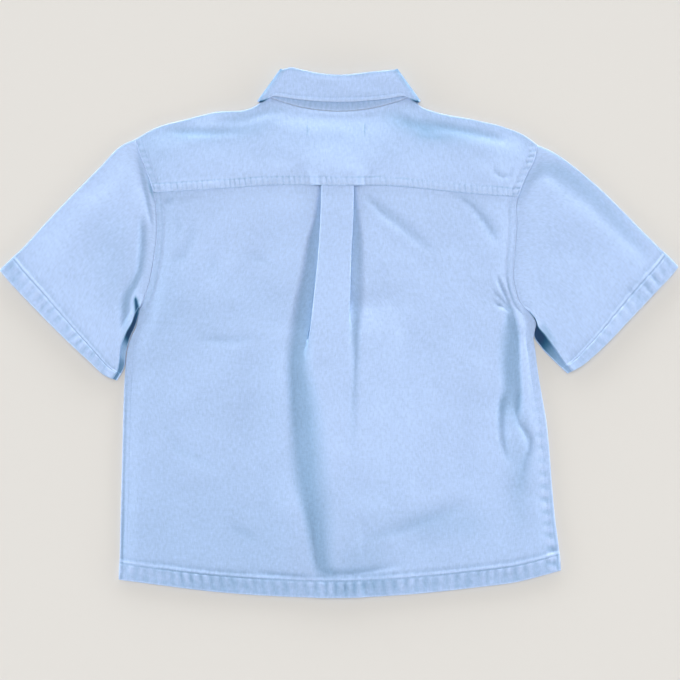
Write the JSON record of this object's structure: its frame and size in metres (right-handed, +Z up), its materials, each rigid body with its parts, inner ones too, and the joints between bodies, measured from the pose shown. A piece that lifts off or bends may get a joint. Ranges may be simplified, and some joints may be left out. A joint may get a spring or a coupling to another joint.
{
  "type": "denim shirt",
  "caption": "Boxy short-sleeved denim shirt with a yoke and a back box pleat, buttoned up and laid flat with its back up.",
  "frame": {"origin": "on the surface that the shirt lies on, at the middle of its outline", "axes": "+X to the wearer's right and along the sleeves, +Y to the collar, +Z up from the surface, out of the shirt's back"},
  "size_m": [0.8138, 0.6336, 0.0128],
  "materials": {
    "denim": "washed light blue twill, matt",
    "collar_denim": "the same denim, pressed double",
    "button": "pale blue resin, satin"
  },
  "bodies": {
    "root": {"back_panel": "denim", "back_yoke": "denim", "front_left": "denim", "front_right": "denim", "sleeve_left": "denim", "sleeve_right": "denim", "collar_stand": "collar_denim", "collar_leaf": "collar_denim", "button_1": "button", "button_2": "button", "button_3": "button", "button_4": "button", "button_5": "button", "button_6": "button", "button_7": "button"}
  },
  "joints": []
}
